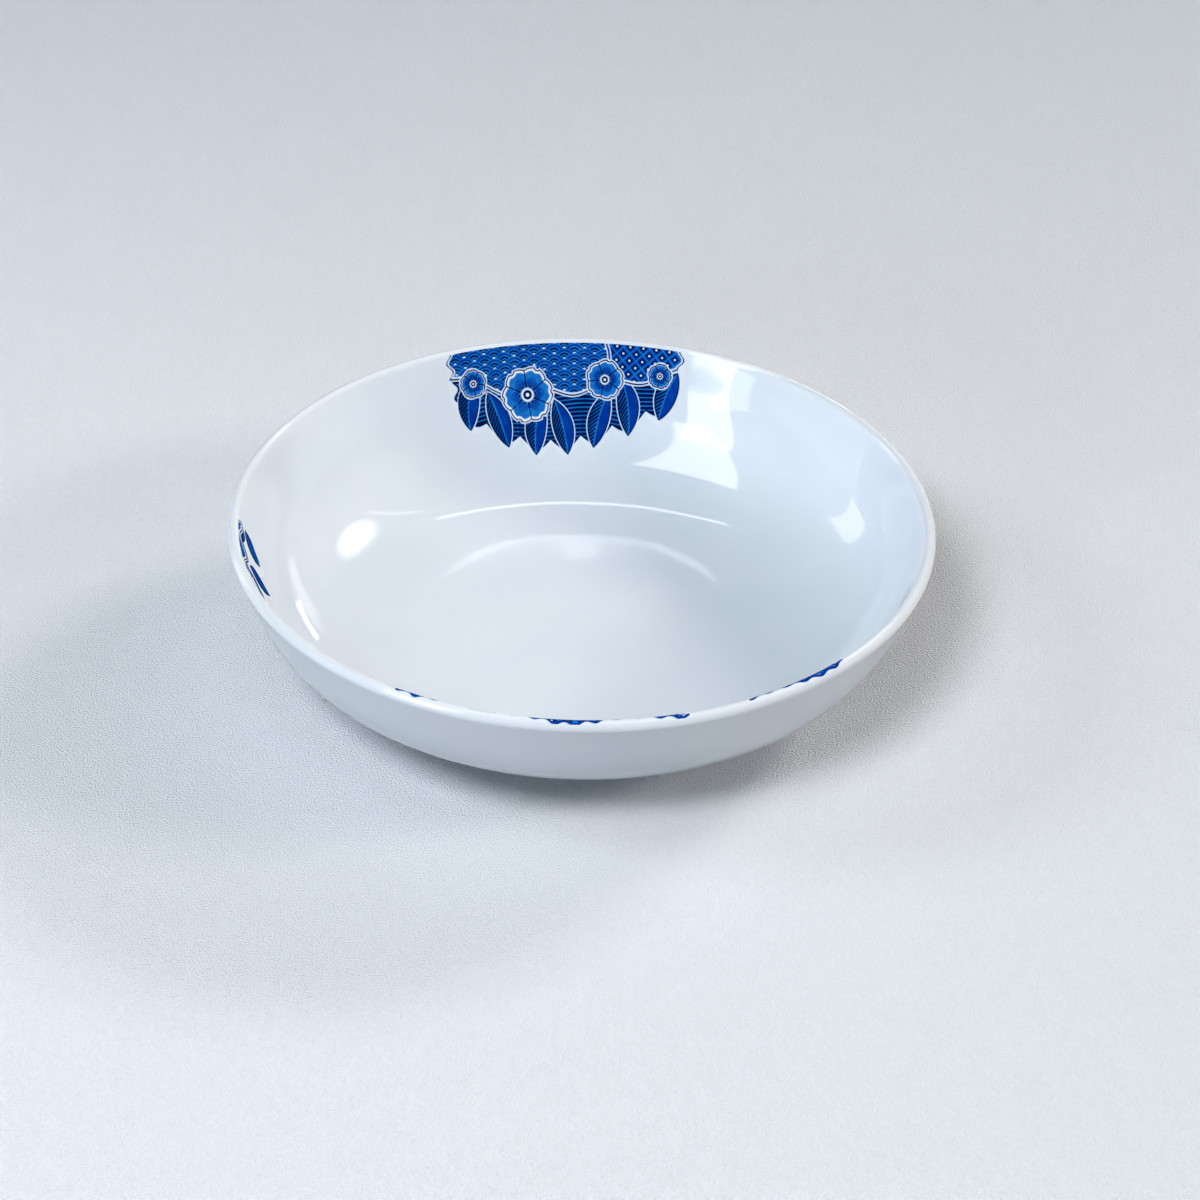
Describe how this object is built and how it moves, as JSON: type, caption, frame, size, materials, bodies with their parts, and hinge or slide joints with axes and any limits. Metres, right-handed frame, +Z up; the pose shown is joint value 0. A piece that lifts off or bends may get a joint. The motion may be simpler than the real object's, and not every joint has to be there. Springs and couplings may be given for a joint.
{
  "type": "soup plate",
  "caption": "Deep white porcelain coupe soup plate on a foot ring, with cobalt-blue transfer prints hanging from the rim inside.",
  "frame": {"origin": "middle of the foot ring, in the plane it stands on", "axes": "+Z up along the axis the plate is turned about, -Y to the plate's front as pictured, +X to the right"},
  "size_m": [0.205, 0.205, 0.0462],
  "materials": {
    "porcelain": "clear gloss glaze over white porcelain, bare at the foot's standing edge",
    "cobalt_print": "cobalt-blue transfer print fired into the glaze"
  },
  "bodies": {
    "root": {"plate_body": "porcelain", "back_print": "cobalt_print", "left_print": "cobalt_print", "front_left_print": "cobalt_print", "front_print": "cobalt_print", "right_print": "cobalt_print"}
  },
  "joints": []
}
